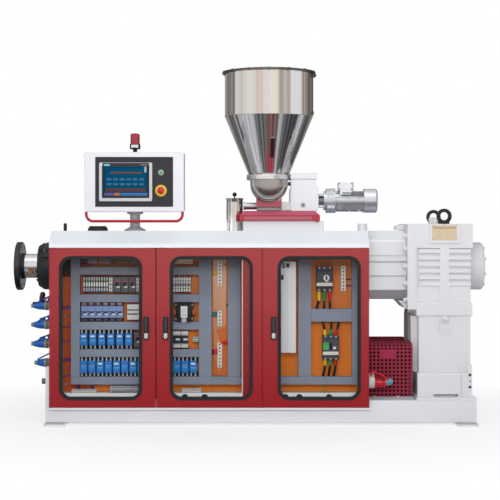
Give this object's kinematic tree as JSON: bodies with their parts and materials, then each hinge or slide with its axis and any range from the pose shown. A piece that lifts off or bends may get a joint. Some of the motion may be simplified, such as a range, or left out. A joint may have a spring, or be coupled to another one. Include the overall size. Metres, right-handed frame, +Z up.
{
  "type": "plastic extruder",
  "caption": "Conical twin-screw plastic extruder with windowed electrical cabinet, hopper and screw feeder, swivelling control panel, gearbox and guarded motor.",
  "frame": {"origin": "centre of the bounding box on the floor", "axes": "+X from the die to the gearbox, +Y away from the cabinet doors, +Z up"},
  "size_m": [2.972, 1.01, 2.194],
  "materials": {
    "white_paint": "satin",
    "red_paint": "satin",
    "grey_blue_paint": "satin",
    "orange_backplate": "satin",
    "black_paint": "satin",
    "light_grey_paint": "satin",
    "steel": "brushed",
    "cast_grey": "machined",
    "stainless": "brushed",
    "black_rubber": "matte",
    "tinted_glass": "clear",
    "black_plastic": "matte",
    "duct_grey_plastic": "matte",
    "blue_plastic": "satin",
    "mixed_device_plastic": "matte",
    "terminal_plastic": "matte",
    "copper_panel": "satin",
    "screen_glass": "gloss",
    "red_plastic": "satin",
    "grey_aluminium": "cast"
  },
  "bodies": {
    "frame": {"angle_bracket": "white_paint", "barrel": "steel", "barrel_cover": "black_paint", "base_frame": "white_paint", "breather_caps": "light_grey_paint", "cabinet_posts": "red_paint", "cabinet_sill": "white_paint", "cabinet_walls": "white_paint", "cable_ducts": "duct_grey_plastic", "cover_fittings": "black_plastic", "die_adapter": "steel", "die_flange": "black_paint", "distribution_case": "light_grey_paint", "end_panel": "white_paint", "feed_chute": "stainless", "feeder_body": "stainless", "feeder_housing": "white_paint", "feeder_motor": "grey_aluminium", "feeder_pedestal": "white_paint", "feeder_saddle": "cast_grey", "feeder_tray": "red_paint", "foot_plates": "white_paint", "gearbox_end_cap": "light_grey_paint", "gearbox_housing": "light_grey_paint", "gearbox_lower_housing": "light_grey_paint", "gearbox_pad": "white_paint", "heater_plugs": "blue_plastic", "hopper": "stainless", "inner_panels": "copper_panel", "lids": "stainless", "lifting_eyes": "black_paint", "main_motor": "grey_aluminium", "motor_guard": "red_paint", "moulded_breakers": "black_plastic", "mounting_plate": "orange_backplate", "panel_column": "light_grey_paint", "power_modules": "blue_plastic", "power_plug": "red_plastic", "rail_devices": "mixed_device_plastic", "rear_panels": "white_paint", "terminal_strips": "terminal_plastic", "top_cover": "grey_blue_paint", "transformer": "black_plastic"},
    "door_left": {"door_left": "red_paint", "door_left_gasket": "black_rubber", "door_left_glass": "tinted_glass", "door_left_handle": "black_plastic"},
    "door_middle": {"door_middle": "red_paint", "door_middle_gasket": "black_rubber", "door_middle_glass": "tinted_glass", "door_middle_handle": "black_plastic"},
    "door_right": {"door_right": "red_paint", "door_right_gasket": "black_rubber", "door_right_glass": "tinted_glass", "door_right_handle": "black_plastic"},
    "control_panel": {"control_panel_box": "light_grey_paint", "operator_screen": "screen_glass", "panel_buttons": "red_plastic", "panel_handle": "red_plastic", "beacon": "red_plastic"}
  },
  "joints": [
    {"name": "door_left_hinge", "type": "hinge", "parent": "frame", "child": "door_left", "pos_m": [-1.213, -0.445, 0.5915], "axis": [0, 0, -1], "range_deg": [0, 110]},
    {"name": "door_middle_hinge", "type": "hinge", "parent": "frame", "child": "door_middle", "pos_m": [0.075, -0.445, 0.5915], "axis": [0, 0, 1], "range_deg": [0, 110]},
    {"name": "door_right_hinge", "type": "hinge", "parent": "frame", "child": "door_right", "pos_m": [0.719, -0.445, 0.5915], "axis": [0, 0, 1], "range_deg": [0, 110]},
    {"name": "panel_swivel", "type": "hinge", "parent": "frame", "child": "control_panel", "pos_m": [-0.716, -0.19, 1.2957], "axis": [0, 0, 1], "range_deg": [-90, 90]}
  ]
}
